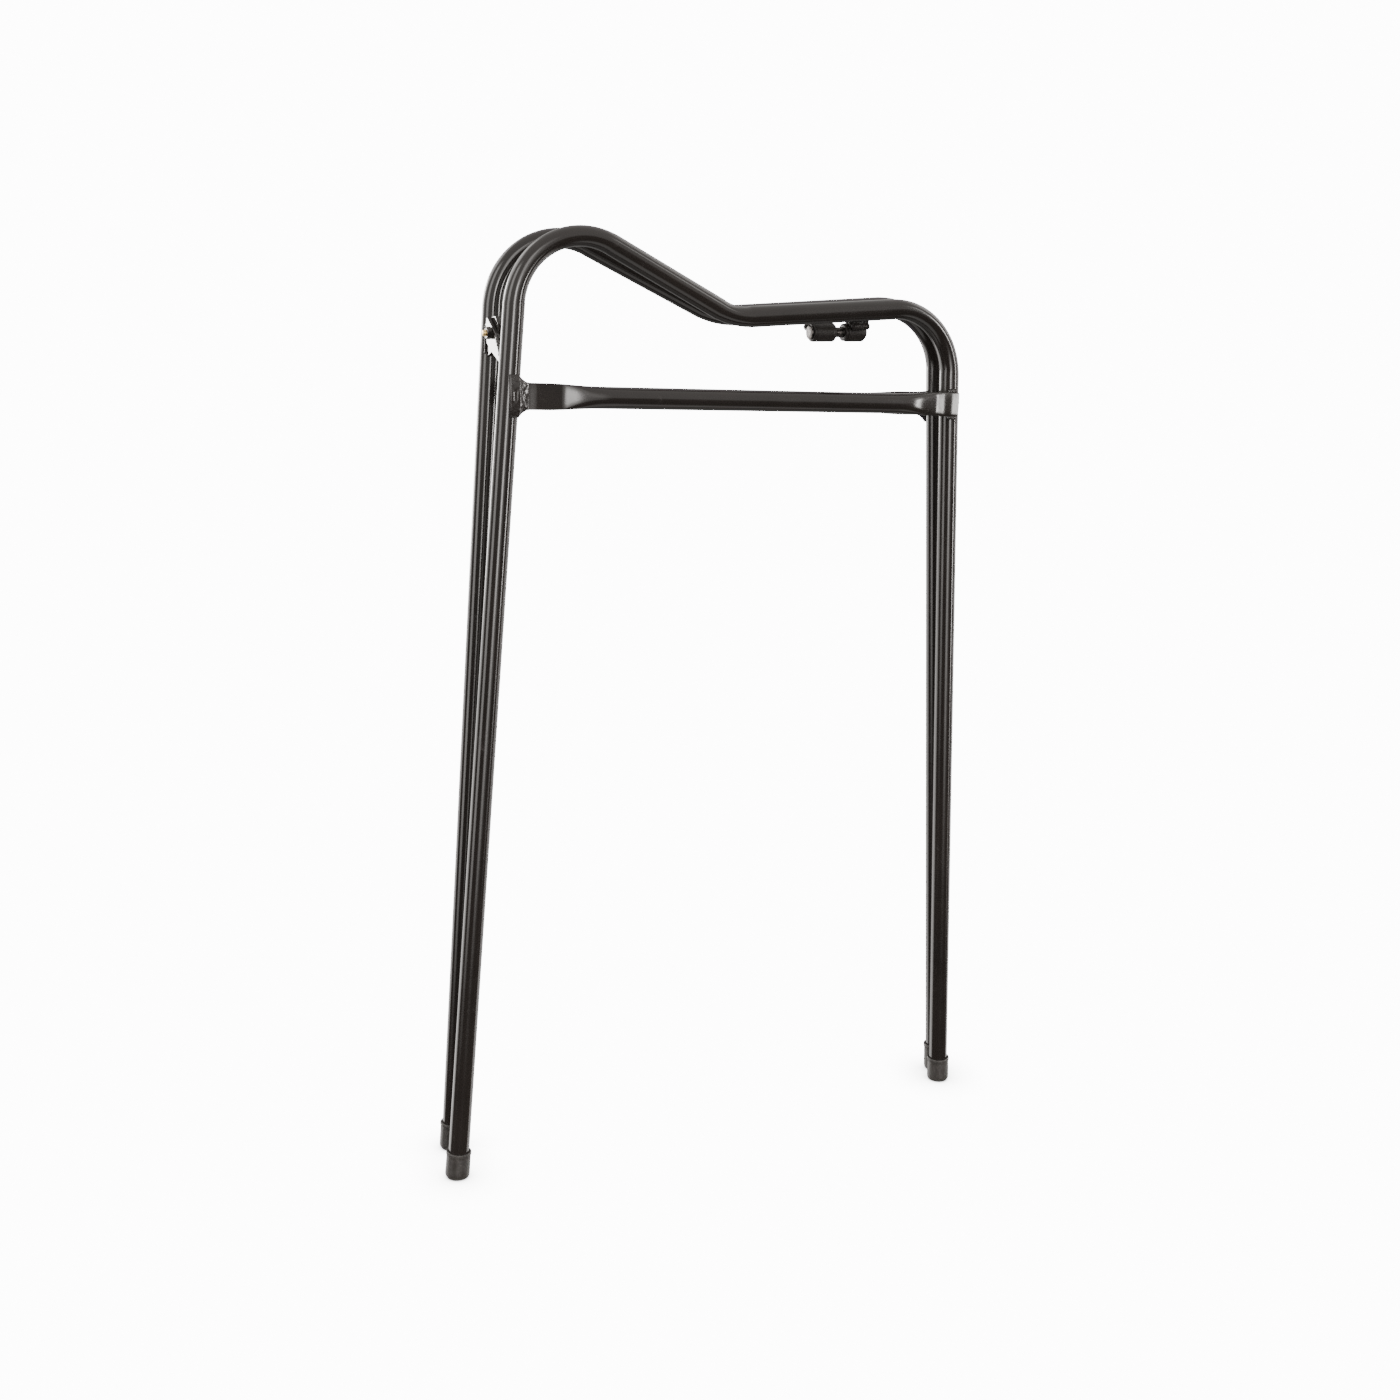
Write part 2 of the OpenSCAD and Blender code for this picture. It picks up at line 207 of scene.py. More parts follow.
def centre_line(splay):
    """the tube's centre line in the XZ plane as (x, z, direction, ovality)"""
    # hump: centre of its bend, and how steeply the slope behind it falls to the dip
    hump_x = -FOOT_X + (HUMP_HEIGHT - BEND_R) * math.tan(splay) + BEND_R / math.cos(splay)
    hump_z = HUMP_HEIGHT - BEND_R
    fall = (math.asin(BEND_R / math.hypot(DIP_X - hump_x, DIP_HEIGHT - hump_z))
            - math.atan2(DIP_HEIGHT - hump_z, DIP_X - hump_x))
    # dip: the bend's centre lies above the corner of the two straights
    half = (fall + SEAT_RISE) / 2
    normal = radians(90) + (SEAT_RISE - fall) / 2
    dip_x = DIP_X + BEND_R / math.cos(half) * math.cos(normal)
    dip_z = DIP_HEIGHT + BEND_R / math.cos(half) * math.sin(normal)
    # cantle: corner of the seat and the right leg, and the bend's centre inside it
    seat_slope = math.tan(SEAT_RISE)
    leg_slope = math.tan(LEG_SPLAY)
    corner_x = ((FOOT_X - leg_slope * (DIP_HEIGHT - seat_slope * DIP_X))
                / (1 + leg_slope * seat_slope))
    corner_z = DIP_HEIGHT + seat_slope * (corner_x - DIP_X)
    half = (radians(90) - LEG_SPLAY + SEAT_RISE) / 2
    normal = (radians(90) + SEAT_RISE + LEG_SPLAY) / 2
    cantle_x = corner_x - BEND_R / math.cos(half) * math.cos(normal)
    cantle_z = corner_z - BEND_R / math.cos(half) * math.sin(normal)
    points = []

    def straight(xa, za, xb, zb, steps):
        direction = math.atan2(zb - za, xb - xa)
        for i in range(steps):
            t = i / steps
            points.append((xa + (xb - xa) * t, za + (zb - za) * t, direction, 0.0))

    def arc(xo, zo, start, end, side, steps):
        # side +1: the bend turns clockwise, its centre below the tube
        for i in range(steps + 1):
            a = start + (end - start) * i / steps
            t = i / steps
            oval = math.sin(math.pi * t) ** 0.5 if 0 < t < 1 else 0.0
            points.append((xo + BEND_R * math.cos(a), zo + BEND_R * math.sin(a),
                           a - side * math.pi / 2, oval))

    straight(-FOOT_X + math.tan(splay) * TUBE_END, TUBE_END, hump_x - BEND_R * math.cos(splay),
             hump_z + BEND_R * math.sin(splay), 44)
    arc(hump_x, hump_z, radians(180) - splay, radians(90) - fall, 1, 40)
    straight(hump_x + BEND_R * math.sin(fall), hump_z + BEND_R * math.cos(fall),
             dip_x - BEND_R * math.sin(fall), dip_z - BEND_R * math.cos(fall), 10)
    arc(dip_x, dip_z, radians(270) - fall, radians(270) + SEAT_RISE, -1, 18)
    straight(dip_x + BEND_R * math.sin(SEAT_RISE), dip_z - BEND_R * math.cos(SEAT_RISE),
             cantle_x - BEND_R * math.sin(SEAT_RISE), cantle_z + BEND_R * math.cos(SEAT_RISE), 14)
    arc(cantle_x, cantle_z, radians(90) + SEAT_RISE, LEG_SPLAY, 1, 44)
    straight(cantle_x + BEND_R * math.cos(LEG_SPLAY), cantle_z + BEND_R * math.sin(LEG_SPLAY),
             FOOT_X - leg_slope * TUBE_END, TUBE_END, 44)
    points.append((FOOT_X - leg_slope * TUBE_END, TUBE_END, -radians(90) + LEG_SPLAY, 0.0))
    return points


def tube_mesh(splay):
    rings = []
    for x, z, direction, oval in centre_line(splay):
        thin, wide = TUBE_R * (1 - THINNER * oval), TUBE_R * (1 + WIDER * oval)
        nx, nz = -math.sin(direction), math.cos(direction)
        rings.append([(x + nx * (c * thin), s * wide, z + nz * (c * thin))
                      for c, s in circle(TUBE_SEGS)])
    kept = [rings[0]]
    for ring in rings[1:]:
        steps = [(Vector(ring[k]) - Vector(kept[-1][k])).length for k in (0, TUBE_SEGS // 2)]
        if max(steps) > SHORTEST_STEP:
            kept.append(ring)
    bm = bmesh.new()
    rings_to_mesh(bm, kept)
    return bm


# ---- crossbar: round in the middle, pressed flat at both ends
# slope of the outer face by distance from the end: a pinched lip, a flat, then the taper
BUTT_END = [(0, 0.0), (13, 0.0), (17, 0.2), (20, 0.2), (25, 0.0), (46, 0.0), (50, 0.3),
            (60, 0.3), (70, 0.19), (84, 0.14), (108, 0.0)]
LAP_END = [(0, 0.13), (1.5, 0.1), (9, 0.1), (11.5, 0.0), (16.5, 0.0), (18.5, 0.1), (28, 0.1),
           (30.5, 0.24), (44.5, 0.24), (68, 0.0)]
BUTT_FLAT, BUTT_TAPER = 40.0, 44.0
LAP_FLAT, LAP_TAPER = 18.0, 56.0
SQUARE, ROUND = 4.2, 2.0        # exponents of the section, from squarish to a circle
BAR_SEGS = 72


def slope_sum(s, knots):
    """area under a broken line of slopes up to s: how deep the pressed face has risen"""
    total = 0.0
    for (s0, g0), (s1, g1) in zip(knots, knots[1:]):
        t = min(max((s - s0) / (s1 - s0), 0.0), 1.0)
        total += (s1 - s0) * (g0 * t + (g1 - g0) * t * t / 2)
    return total


def bar_section(s, knots, flat, taper):
    """outer and inner half depth, half height and squareness, s from the end of the bar"""
    reach = knots[-1][0]
    outer = BAR_R - (slope_sum(reach, knots) - slope_sum(s, knots))
    inner = FLAT_T / 2 + (BAR_R - FLAT_T / 2) * ease((s - flat) / taper)
    rounding = ease((s - flat * 0.8) / (taper * 1.15))
    lip = 0.35 * (1 - ease(s / 3))
    half_h = FLAT_H / 2 + (BAR_R - FLAT_H / 2) * rounding - lip
    exponent = SQUARE + (ROUND - SQUARE) * rounding
    return outer, inner, half_h, exponent


def bar_stations(length):
    """distances along the bar, close together in the shaped ends"""
    shaped = 120
    coarse = 12.0
    end = [0.0, 0.5, 1.2, 2, 3, 4, 5, 6, 7.5, 9, 10.5, 12, 14]
    end += [14 + i * 2.0 for i in range(1, 52)]
    middle = [shaped + i * coarse for i in range(int((length - 2 * shaped) / coarse) + 1)]
    return end + middle + [length - s for s in reversed(end)]


def bar_mesh():
    start = -LEG_AT_BAR
    length = LEG_AT_BAR + BAR_LAP - start
    rings = []
    for s in bar_stations(length):
        if s < length - s:
            section = bar_section(s, BUTT_END, BUTT_FLAT, BUTT_TAPER)
        else:
            section = bar_section(length - s, LAP_END, LAP_FLAT, LAP_TAPER)
        outer, inner, half_h, exponent = section
        rings.append([(start + s,
                       power(c, 2 / exponent) * (inner if c > 0 else outer) + BAR_Y,
                       power(si, 2 / exponent) * half_h + BAR_HEIGHT)
                      for c, si in circle(BAR_SEGS)])
    bm = bmesh.new()
    rings_to_mesh(bm, rings)
    return bm


# ---- weld beads
def bead(bm, path, radius, seed, ripple=2.6):
    """a rope of overlapping ripples along a path"""
    spacing = 0.45              # of the rings
    reach = 0.8                 # how far either way the direction is read
    rnd = random.Random(seed)
    points = [Vector(p) for p in path]
    lengths = [(points[i + 1] - points[i]).length for i in range(len(points) - 1)]
    total = sum(lengths)
    steps = max(10, int(total / spacing))
    start = rnd.random() * 6

    def at(t):
        for i, length in enumerate(lengths):
            if t <= length or i == len(lengths) - 1:
                return points[i].lerp(points[i + 1], min(t / length, 1.0))
            t -= length

    rings = []
    previous = None
    for i in range(steps + 1):
        t = total * i / steps
        centre = at(t)
        direction = (at(min(t + reach, total)) - at(max(t - reach, 0))).normalized()
        side = direction.cross(Vector((0.31, 0.87, 0.38))).normalized()
        if previous is not None and side.dot(previous) < 0:
            side = -side
        previous = side
        up = direction.cross(side)
        phase = (t / ripple + start) % 1.0
        r = radius * (0.86 + 0.2 * math.sin(math.pi * phase) ** 0.7)
        r *= 1 + 0.16 * noise.noise(Vector((t * 0.35, seed * 1.7, 0)))
        from_end = min(t, total - t) / radius
        if from_end < 1:
            r *= math.sqrt(max(1 - (1 - from_end) ** 2, 0.03))
        wobble = Vector([noise.noise(Vector((t * 0.3, seed, row))) for row in (3, 7, 11)])
        wobble = wobble * radius * 0.3
        ring = []
        for c, s in circle(14):
            outwards = side * c + up * s
            point = centre + wobble + outwards * r
            lump = noise.noise(point * 0.45 + Vector((seed, 0, 0)))
            ring.append(point + outwards * (radius * 0.13 * lump))
        rings.append(ring)
    rings_to_mesh(bm, rings)


def butt_weld(seed, over):
    """concave fillet from the leg onto the bar end, rippled; over is its reach upwards"""
    under = 19.0
    narrow = 12.3               # half height where the fillet has run out onto the bar
    rings = []
    for i in range(44):
        s = -2.5 + i * 0.42     # distance from the leg's centre line along the bar
        flare = min(max(1 - (s - 6.0) / 9.5, 0.0), 1.0) ** 2.0
        deep = min(max(1 - (s - 6.0) / 10.0, 0.05), 1.0)
        ring = []
        for c, si in circle(72):
            reach = narrow + ((over if si > 0 else under) - narrow) * flare
            z = power(si, 0.7) * reach
            y = power(c, 0.6) * (0.6 + 3.6 * deep * (0.55 + 0.45 * abs(c)))
            lump = noise.noise(Vector((s * 0.3, z * 0.3, seed + c)))
            wave = math.sin(2 * math.pi * (z / 3.1 + 0.35 * math.sin(s * 0.9 + seed)))
            y += math.copysign(1, c) * (0.16 * wave + 0.35 * lump) * min(deep * 1.6, 1)
            z += 0.4 * lump * math.copysign(1, si) * flare ** 0.5
            ring.append((-LEG_AT_BAR + s + 0.3 * lump, BAR_Y + 1.4 + y, BAR_HEIGHT + z))
        rings.append(ring)
    bm = bmesh.new()
    rings_to_mesh(bm, rings)
    return bm


def lap_beads(seed, splay):
    """beads above and below the bar end that laps past the leg, and one along its lip"""
    bm = bmesh.new()
    leg = FOOT_X - BAR_HEIGHT * math.tan(splay)
    end = min(leg + 1.5, LEG_AT_BAR + 2.5)
    for up in (1, -1):
        z = BAR_HEIGHT + up * 12.6
        bead(bm, [(leg - 8, BAR_Y + 2.6, z), (leg - 4, BAR_Y + 1.5, z + up * 0.5),
                  (leg, BAR_Y + 1.2, z + up * 0.7), (end, BAR_Y + 1.2, z + up * 0.4)],
             2.3, seed + up, 2.7)
    lip = [(2.6, 1.6, 10), (3, 1.2, 3), (2.9, 1.3, -4), (2.6, 1.6, -10)]
    bead(bm, [(LEG_AT_BAR + x, BAR_Y + y, BAR_HEIGHT + z) for x, y, z in lip], 1.5, seed + 5, 2.4)
    return bm


def sleeve_beads(side, sleeve, seed, early=0.0):
    """a thick fillet between the sleeve and its top tube, with more passes of weld on it"""
    bm = bmesh.new()
    start, end = sleeve[0] - early, sleeve[1]
    y, n = side * 11.6, 9.9
    passes = ((0, 0, 6.6), (-side * 4.6, 2.6, 3.6), (side * 3.6, -4.4, 3.4),
              (-side * 6.4, -0.4, 3.2))
    for k, (dy, dn, r) in enumerate(passes):
        bead(bm, [(start + 0.6, y + dy, n + dn), ((start + end) / 2, y + dy, n + dn + 0.3),
                  (end - 0.6, y + dy, n + dn)], r, seed + k, 3.2)
    return bm


# ---- hinge plates, bolt, nut, sleeves and pin; outlines are (depth, height) from the axis
FRONT_OUTLINE = [(-LEG_Y + 3, -FRONT_TOP - FRONT_TILT * (LEG_Y - 2) + 14.6),
                 (10.5, FRONT_TOP + FRONT_TILT * 10.5), (13, FRONT_TOP + FRONT_TILT * 8.5),
                 (15, 4), (13.5, FRONT_TILT * 12 - FRONT_LOW), (0, -FRONT_LOW),
                 (-19, -FRONT_LOW - 8.3), (-LEG_Y + 3, -FRONT_LOW - 8.3)]
REAR_OUTLINE = [(LEG_Y - 4, REAR_TOP - REAR_TILT * (LEG_Y - 4)), (6, REAR_TOP - REAR_TILT * 6),
                (-2, REAR_TOP - REAR_TILT * 5), (-8, 8), (-9, 0), (-4, REAR_TILT * 3 - REAR_LOW),
                (LEG_Y - 4, -REAR_LOW - REAR_TILT * (LEG_Y - 4))]


def plate_mesh(outline, far_face):
    bm = bmesh.new()
    bm.faces.new([bm.verts.new((far_face - PLATE_T, y, n)) for y, n in outline])
    far = bmesh.ops.extrude_face_region(bm, geom=bm.faces[:])
    for part in far["geom"]:
        if isinstance(part, bmesh.types.BMVert):
            part.co.x = far_face
    return bm


def thread_mesh(start, end, r, pitch, depth):
    """rolled thread with a tapered tip at start"""
    segs = 40
    steps = int((end - start) / (pitch / 8))
    rings = []
    for i in range(steps + 1):
        u = start + (end - start) * i / steps
        full = min((u - start) / 1.2, 1.0)
        ring = []
        for k, (c, s) in enumerate(circle(segs)):
            phase = (u / pitch + k / segs) % 1.0
            groove = depth * (0.5 + 0.5 * math.cos(2 * math.pi * phase)) * (0.35 + 0.65 * full)
            here = r - groove - 0.7 * (1 - full) ** 1.3
            ring.append((u, here * c, here * s))
        rings.append(ring)
    bm = bmesh.new()
    rings_to_mesh(bm, rings)
    return bm


def hex_mesh(start, end, bore):
    """hexagon with turned chamfers on both faces; a radius of None follows the six flats"""
    segs = 72
    chamfer = 0.35
    flat = NUT_ACROSS / 2
    turn_by = 0.26
    profile = [(start + 0.2, bore), (start, bore + 0.35), (start, flat * 0.94),
               (start + chamfer, None), (end - chamfer, None), (end, flat * 0.94),
               (end, bore + 0.35), (end - 0.2, bore)]
    rings = []
    for u, r in profile:
        ring = []
        for k in range(segs):
            a = 2 * math.pi * k / segs
            from_flat = (a + math.pi / 6) % (math.pi / 3) - math.pi / 6
            six = flat / math.cos(from_flat)
            here = six if r is None else r
            dip = (six - flat) * 0.55 if r is None else 0.0
            along = u + (dip if u < (start + end) / 2 else -dip)
            ring.append((along, here * math.cos(a + turn_by), here * math.sin(a + turn_by)))
        rings.append(ring)
    bm = bmesh.new()
    rings_to_mesh(bm, rings, loop=True)
    return bm


def washer_mesh(profile):
    bm = bmesh.new()
    turned(bm, profile, closed=True)
    return bm


def sleeve_mesh(sleeve, seed):
    """tube with rounded ends and a barely uneven outside"""
    a, b = sleeve
    r, bore = SLEEVE_R, SLEEVE_BORE
    profile = [(a + 1.0, bore), (a + 0.3, bore + 0.5), (a, bore + 1.2), (a, r - 1.6),
               (a + 0.3, r - 0.8), (a + 0.9, r - 0.25), (a + 1.8, r)]
    for i in range(1, 6):
        profile.append((a + 2.2 + (b - a - 4.4) * i / 6, r + 0.04 * math.sin(i * 2.1 + seed)))
    profile += [(b - 1.8, r), (b - 0.9, r - 0.25), (b - 0.3, r - 0.8), (b, r - 1.6),
                (b, bore + 1.2), (b - 0.3, bore + 0.5), (b - 1.0, bore)]
    bm = bmesh.new()
    turned(bm, profile, 72, closed=True)
    return bm


def pin_mesh():
    """pin through both sleeves with a rounded head at each end"""
    a, b = REAR_SLEEVE[0], FRONT_SLEEVE[1]
    bm = bmesh.new()
    turned(bm, [(a - 2.3, 2.0), (a - 2.3, 5.6), (a - 1.9, 6.7), (a - 1.2, 7.0), (a - 0.35, 6.8),
                (a - 0.3, 5.0), (a + 10, 4.95), (b - 10, 4.95), (b + 0.02, 5.0), (b + 0.05, 6.8),
                (b + 0.9, 7.0), (b + 1.6, 6.7), (b + 2.0, 5.6), (b + 2.0, 2.0)])
    return bm


# ---- rubber foot caps, trimmed flat on the floor
def cap_mesh(side, low, splay, frame_matrix, seed):
    """cap mesh and its matrix; low is the floor's height in the frame's own coordinates"""
    profile = [(low - 3, 0.3), (low - 3, 6), (low - 3, CAP_R - 2.4), (low + 0.2, CAP_R - 2.4),
               (low + 0.5, 10.2), (low + 1.1, 10.9), (low + 1.9, 11.5), (low + 3.2, 11.9),
               (low + 5, CAP_R), (10, 11.95), (16, 11.88), (21, 11.82), (CAP_H - 3.6, 11.8),
               (CAP_H - 3.3, 11.9), (CAP_H - 3.05, 12.25), (CAP_H - 2.6, 12.3),
               (CAP_H - 1.4, 12.3), (CAP_H - 0.5, 12.25), (CAP_H - 0.1, CAP_R), (CAP_H, 11.6),
               (CAP_H, 10.4), (CAP_H - 0.4, 10.05)]
    seam = math.pi * 1.36       # where the two mould halves met
    rings = []
    for z, r in profile:
        ring = []
        for k in range(72):
            a = 2 * math.pi * k / 72
            here = r
            if r > 11.7:
                here += 0.10 * noise.noise(
                    Vector((math.cos(a) * 2, math.sin(a) * 2, z * 0.12 + seed)))
                here += 0.16 * math.exp(-((a - seam) / 0.035) ** 2)
            ring.append((here * math.cos(a), here * math.sin(a), z))
        rings.append(ring)
    bm = bmesh.new()
    rings_to_mesh(bm, rings)
    full = (frame_matrix @ Matrix.Translation((side * FOOT_X, 0, 0))
            @ Matrix.Rotation(-side * splay, 4, "Y"))
    inverse = full.inverted()
    for vert in bm.verts:
        where = full @ vert.co
        if where.z < 0:
            where.z = 0
            vert.co = inverse @ where
    return bm, full


# ---- materials
def principled(name, rough, metallic=0.0, ior=1.5):
    material = bpy.data.materials.new(name)
    material.use_nodes = True
    tree = material.node_tree
    shader = tree.nodes["Principled BSDF"]
    shader.inputs["Roughness"].default_value = rough
    shader.inputs["Metallic"].default_value = metallic
    shader.inputs["IOR"].default_value = ior
    return material, tree, shader


def noise_tex(tree, scale, detail=3.0, rough=0.5, distort=0.0):
    coords = tree.nodes.new("ShaderNodeTexCoord")
    texture = tree.nodes.new("ShaderNodeTexNoise")
    texture.inputs["Scale"].default_value = scale
    texture.inputs["Detail"].default_value = detail
    texture.inputs["Roughness"].default_value = rough
    texture.inputs["Distortion"].default_value = distort
    tree.links.new(coords.outputs["Object"], texture.inputs["Vector"])
    return texture.outputs["Fac"]


def ramp(tree, fac, stops):
    """colour ramp from two stops of (position, grey or RGB)"""
    colours = tree.nodes.new("ShaderNodeValToRGB")
    for element, (position, colour) in zip(colours.color_ramp.elements, stops):
        element.position = position
        element.color = (*colour, 1) if isinstance(colour, tuple) else (colour, colour, colour, 1)
    tree.links.new(fac, colours.inputs["Fac"])
    return colours.outputs["Color"]


def mixed(tree, fac, a, colour):
    mix = tree.nodes.new("ShaderNodeMix")
    mix.data_type = "RGBA"
    tree.links.new(fac, mix.inputs["Factor"])
    tree.links.new(a, mix.inputs["A"])
    mix.inputs["B"].default_value = (*colour, 1)
    return mix.outputs["Result"]


def bumped(tree, shader, layers):
    """chain of bumps, each (height, strength, distance)"""
    last = None
    for height, strength, distance in layers:
        bump = tree.nodes.new("ShaderNodeBump")
        bump.inputs["Strength"].default_value = strength
        bump.inputs["Distance"].default_value = distance
        tree.links.new(height, bump.inputs["Height"])
        if last is not None:
            tree.links.new(last, bump.inputs["Normal"])
        last = bump.outputs["Normal"]
    tree.links.new(last, shader.inputs["Normal"])


def paint(name, peel, rough, ior=1.5):
    """black enamel with orange peel, thin edges and handling scuffs"""
    material, tree, shader = principled(name, rough, ior=ior)
    colour = ramp(tree, noise_tex(tree, 9, 3, 0.55),
                  [(0.3, (0.0105, 0.0086, 0.0078)), (0.7, (0.0155, 0.0125, 0.0112))])
    # edges and high spots where the coat is rubbed thin
    geometry = tree.nodes.new("ShaderNodeNewGeometry")
    worn = ramp(tree, geometry.outputs["Pointiness"], [(0.54, 0), (0.62, 1)])
    patch = ramp(tree, noise_tex(tree, 120, 5, 0.6), [(0.56, 0), (0.66, 1)])
    both = tree.nodes.new("ShaderNodeMath")
    both.operation = "MULTIPLY"
    tree.links.new(worn, both.inputs[0])
    tree.links.new(patch, both.inputs[1])
    colour = mixed(tree, both.outputs[0], colour, (0.07, 0.062, 0.056))
    # faint handling scuffs
    scuff = ramp(tree, noise_tex(tree, 34, 8, 0.72, 1.4), [(0.6, 0), (0.75, 1)])
    colour = mixed(tree, scuff, colour, (0.021, 0.018, 0.0165))
    tree.links.new(colour, shader.inputs["Base Color"])
    roughness = ramp(tree, noise_tex(tree, 22, 6, 0.65),
                     [(0.3, rough * 0.75), (0.75, rough * 1.5)])
    roughness = mixed(tree, scuff, roughness, (rough * 2.2,) * 3)
    tree.links.new(roughness, shader.inputs["Roughness"])
    bumped(tree, shader, [(noise_tex(tree, 420, 2, 0.5), 0.08 * peel, 0.0004),
                          (noise_tex(tree, 1500, 2, 0.5), 0.03 * peel, 0.00012),
                          (noise_tex(tree, 60, 2, 0.5), 0.06 * peel, 0.0012)])
    return material


def metal(name, light, dark, rough, dirt):
    """plated steel with grime"""
    material, tree, shader = principled(name, rough, metallic=1.0)
    colour = ramp(tree, noise_tex(tree, 160, 4, 0.6), [(0.3, dark), (0.72, light)])
    grime = ramp(tree, noise_tex(tree, 320, 5, 0.65), [(0.56, 0), (0.72, 1)])
    colour = mixed(tree, grime, colour, dirt)
    tree.links.new(colour, shader.inputs["Base Color"])
    roughness = ramp(tree, noise_tex(tree, 260, 4, 0.6),
                     [(0.3, rough * 0.7), (0.75, rough * 1.7)])
    tree.links.new(roughness, shader.inputs["Roughness"])
    bumped(tree, shader, [(noise_tex(tree, 900, 3, 0.6), 0.18, 0.0002)])
    return material


def rubber(name):
    """matte moulded rubber with a little dust"""
    material, tree, shader = principled(name, 0.46, ior=1.48)
    colour = ramp(tree, noise_tex(tree, 40, 4, 0.6),
                  [(0.3, (0.017, 0.0145, 0.013)), (0.75, (0.03, 0.0265, 0.024))])
    dust = ramp(tree, noise_tex(tree, 300, 6, 0.7), [(0.55, 0), (0.75, 1)])
    colour = mixed(tree, dust, colour, (0.05, 0.046, 0.042))
    tree.links.new(colour, shader.inputs["Base Color"])
    roughness = ramp(tree, noise_tex(tree, 90, 5, 0.6), [(0.3, 0.36), (0.75, 0.6)])
    tree.links.new(roughness, shader.inputs["Roughness"])
    bumped(tree, shader, [(noise_tex(tree, 700, 3, 0.6), 0.25, 0.00025),
                          (noise_tex(tree, 120, 3, 0.5), 0.12, 0.0006)])
    return material


ENAMEL = paint("black_enamel", 0.4, 0.13)
WELD_ENAMEL = paint("black_enamel_on_weld", 0.6, 0.2)
PLATE_ENAMEL = paint("black_enamel_on_plate", 1.3, 0.12)
DULL_ENAMEL = paint("black_enamel_in_the_corners", 1.5, 0.42, ior=1.3)
RUBBER = rubber("foot_rubber")
YELLOW_ZINC = metal("yellow_zinc", (0.78, 0.6, 0.3), (0.52, 0.36, 0.13), 0.24,
                    (0.16, 0.1, 0.05))
DARK_OXIDE = metal("dark_oxide", (0.11, 0.1, 0.095), (0.05, 0.046, 0.043), 0.34,
                   (0.02, 0.018, 0.016))
BRIGHT_ZINC = metal("bright_zinc", (0.74, 0.73, 0.7), (0.5, 0.49, 0.47), 0.22,
                    (0.12, 0.1, 0.09))

# ---- tubes and bars
new_obj("front_tube", tube_mesh(LEG_SPLAY), FRONT, "front_frame", ENAMEL,
        ["front_frame_tube"])
new_obj("rear_tube", tube_mesh(REAR_SPLAY), REAR, "rear_frame", ENAMEL,
        ["rear_frame_tube"])
new_obj("front_bar", bar_mesh(), FRONT, "front_frame", ENAMEL,
        ["front_crossbar"], angle=50)
new_obj("rear_bar", bar_mesh(), REAR_BAR, "rear_frame", ENAMEL,
        ["rear_crossbar"], angle=50)

# ---- weld beads of the bars
new_obj("front_bar_bead_left", butt_weld(3, 19.0), FRONT, "front_frame", WELD_ENAMEL,
        ["front_bar_left_weld"])
new_obj("front_bar_bead_right", lap_beads(11, LEG_SPLAY), FRONT, "front_frame", WELD_ENAMEL,
        ["front_bar_right_weld"])
new_obj("rear_bar_bead_right", butt_weld(21, 13.0), REAR_BAR, "rear_frame", WELD_ENAMEL,
        ["rear_bar_right_weld"])
new_obj("rear_bar_bead_left", lap_beads(31, REAR_SPLAY), REAR_BAR, "rear_frame", WELD_ENAMEL,
        ["rear_bar_left_weld"])

# ---- hinge plates with their beads
soften(new_obj("front_plate", plate_mesh(FRONT_OUTLINE, U_FRONT), HINGE, "front_frame",
               PLATE_ENAMEL, ["front_hinge_plate"], angle=30), 0.5)
soften(new_obj("rear_plate", plate_mesh(REAR_OUTLINE, U_REAR), HINGE, "rear_frame",
               PLATE_ENAMEL, ["rear_hinge_plate"], angle=30), 0.5)

bm = bmesh.new()
bead(bm, [(1.0, -17.5, -1.5), (1.4, -19.5, -6), (1.2, -22, -11), (2.0, -23.6, -17),
          (3.0, -24.6, -23)], 2.1, 41, 3.0)
bead(bm, [(4.6, -19, -0.5), (5.2, -21.5, -6), (5.6, -23.5, -12)], 1.7, 43)
new_obj("front_plate_bead", bm, HINGE, "front_frame", WELD_ENAMEL,
        ["front_plate_weld"])
bm = bmesh.new()
bead(bm, [(4.0, 27.4, -19), (4.4, 26.6, -12), (4.6, 26.4, -4), (4.8, 26.2, 3), (5.0, 26.4, 7)],
     1.0, 47, 2.4)
new_obj("rear_plate_bead", bm, HINGE, "rear_frame", WELD_ENAMEL,
        ["rear_plate_weld"])

# ---- left bolt, its nut, head and washer
NEAR_FACE = U_FRONT - PLATE_T
bm = thread_mesh(NEAR_FACE - BOLT_OUT, U_FRONT + 1, BOLT_R, 1.0, 0.5)
turned(bm, [(U_FRONT + 0.6, BOLT_R - 0.05), (U_REAR + 1.5, BOLT_R - 0.05)], 40)
new_obj("left_bolt", bm, HINGE, "front_frame", YELLOW_ZINC,
        ["left_hinge_bolt"], angle=60)
new_obj("left_nut", hex_mesh(NEAR_FACE - NUT_T, NEAR_FACE, 2.75), HINGE, "front_frame",
        DARK_OXIDE, ["left_hinge_nut"], angle=28)
new_obj("left_bolt_head", hex_mesh(U_REAR + 1.3, U_REAR + 1.3 + HEAD_T, 0.6), HINGE,
        "front_frame", YELLOW_ZINC, angle=28)
bm = washer_mesh([(U_REAR + 0.3, 3.2), (U_REAR + 0.3, 6.0), (U_REAR + 0.5, 6.2),
                  (U_REAR + 1.1, 6.2), (U_REAR + 1.3, 6.0), (U_REAR + 1.3, 3.2)])
new_obj("left_washer", bm, HINGE, "front_frame", BRIGHT_ZINC,
        ["left_head_washer"], angle=40)

